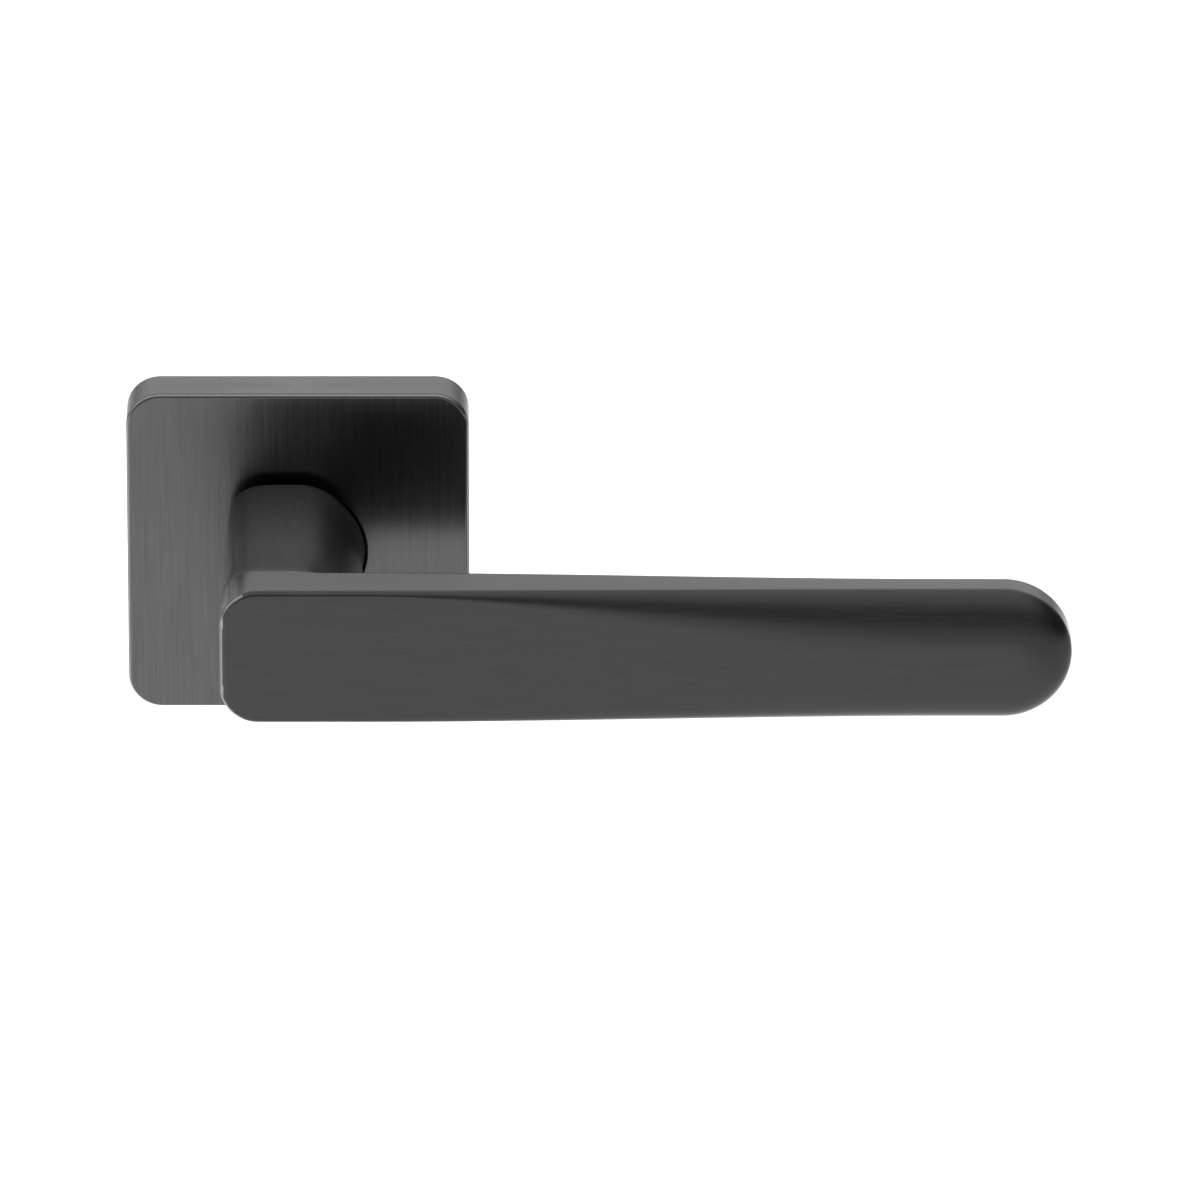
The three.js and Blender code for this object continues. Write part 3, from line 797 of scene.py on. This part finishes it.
for name in ("base_plate", "rotor"):
    dress(name, zinc)
for name in ("guide_ring", "rear_bush"):
    dress(name, nylon)
for name in ("spindle", "spring_plate", "thrust_washer"):
    dress(name, plated_steel)
for name in ("grub_screw", "wave_washer", "circlip"):
    dress(name, spring_steel, FINE_EDGE)
for corner in range(1, 5):
    dress(f"plate_screw_{corner}", plated_steel)
    dress(f"cover_clip_{corner}", spring_steel, FINE_EDGE)


# ---------------------------------------------------------------- studio

ELEVATION = math.radians(24.2)
DISTANCE = 2.6
SENSOR = 36
LENS = 533
NEAREST, FARTHEST = 0.1, 20
LOOK_AT = Vector((0.04415, -0.0099, -0.0065))
FLOOR = -0.30
FLOOR_REACH = 6.0


def make_camera():
    """A long lens, looking down at the front."""
    data = bpy.data.cameras.new("camera")
    data.sensor_width = SENSOR
    data.lens = LENS
    data.clip_start = NEAREST
    data.clip_end = FARTHEST
    camera = bpy.data.objects.new("camera", data)
    bpy.context.scene.collection.objects.link(camera)
    away = Vector((0, -math.cos(ELEVATION), math.sin(ELEVATION)))
    camera.location = LOOK_AT + away * DISTANCE
    camera.rotation_euler = (math.pi / 2 - ELEVATION, 0, 0)
    bpy.context.scene.camera = camera


def make_floor():
    """A pale floor, well below the handle."""
    material, tree, shader = shader_material("floor")
    cloud = noise(tree, FLOOR_CLOUD, detail=2.0)
    tree.links.new(varied(tree, cloud, (1, 1, 1), darkest=0.86, lightest=0.88), shader.inputs["Base Color"])
    shader.inputs["Roughness"].default_value = 0.9
    mesh = bpy.data.meshes.new("floor")
    corners = [(across * FLOOR_REACH, along * FLOOR_REACH, FLOOR)
               for across, along in ((-1, -1), (1, -1), (1, 1), (-1, 1))]
    mesh.from_pydata(corners, [], [(0, 1, 2, 3)])
    mesh.materials.append(material)
    floor = bpy.data.objects.new("floor", mesh)
    bpy.context.scene.collection.objects.link(floor)


def area_light(name, place, aim, size, power):
    """A soft light that isn't seen itself, neither directly nor in reflections."""
    data = bpy.data.lights.new(name, "AREA")
    data.shape = "RECTANGLE"
    data.size, data.size_y = size
    data.energy = power
    light = bpy.data.objects.new(name, data)
    light.location = place
    light.rotation_euler = (Vector(aim) - Vector(place)).to_track_quat("-Z", "Y").to_euler()
    light.visible_camera = False
    light.visible_glossy = False
    bpy.context.scene.collection.objects.link(light)


# Brightness of the room by direction, as degrees over the top from the front horizon to the back one.
ROOM_OVER = [
    (0, 0.2), (14, 0.2), (34, 0.5), (62, 0.65), (90, 0.7), (110, 0.7), (126, 0.8), (138, 0.95), (160, 0.95),
    (172, 0.5),
]
# And by direction from the left, -1, to the right, 1.
ROOM_ACROSS = [(-1, 1.0), (0.4, 1.0), (0.8, 0.25), (1, 0.1)]


def levels(tree, value, stops, low, high):
    """A ramp of grey levels over values from low to high."""
    share = ranged(tree, value, 0, 1, low, high)
    ramp = node(tree, "ShaderNodeValToRGB")
    while len(ramp.color_ramp.elements) < len(stops):
        ramp.color_ramp.elements.new(1.0)
    for element, (place, level) in zip(ramp.color_ramp.elements, stops):
        element.position = (place - low) / (high - low)
        element.color = (level, level, level, 1)
    tree.links.new(share, ramp.inputs["Fac"])
    return ramp.outputs["Color"]


def make_world():
    """A studio: a white wall behind, a soft box overhead, and darker towards the front and the right."""
    world = bpy.data.worlds.new("room")
    bpy.context.scene.world = world
    world.use_nodes = True
    tree = world.node_tree
    place = node(tree, "ShaderNodeTexCoord")
    split = node(tree, "ShaderNodeSeparateXYZ")
    tree.links.new(place.outputs["Generated"], split.inputs["Vector"])
    forward = node(tree, "ShaderNodeMath", operation="MULTIPLY")
    forward.inputs[1].default_value = -1
    tree.links.new(split.outputs["Y"], forward.inputs[0])
    over = node(tree, "ShaderNodeMath", operation="ARCTAN2")
    tree.links.new(split.outputs["Z"], over.inputs[0])
    tree.links.new(forward.outputs["Value"], over.inputs[1])
    degrees = node(tree, "ShaderNodeMath", operation="DEGREES")
    tree.links.new(over.outputs["Value"], degrees.inputs[0])
    both = node(tree, "ShaderNodeMath", operation="MULTIPLY")
    tree.links.new(levels(tree, degrees.outputs["Value"], ROOM_OVER, low=0, high=180), both.inputs[0])
    tree.links.new(levels(tree, split.outputs["X"], ROOM_ACROSS, low=-1, high=1), both.inputs[1])
    tree.links.new(both.outputs["Value"], tree.nodes["Background"].inputs["Strength"])
    tree.nodes["Background"].inputs["Color"].default_value = (1, 1, 1, 1)


bpy.context.scene.view_settings.view_transform = "Standard"
make_camera()
make_floor()
make_world()
area_light("floor_behind", place=(0.05, 0.68, 0.1), aim=(0.05, 0.68, FLOOR), size=(0.55, 0.8), power=3.2)
area_light("floor_left", place=(-0.8, -0.6, 0.4), aim=(-0.5, -0.55, FLOOR), size=(0.8, 0.8), power=5.0)
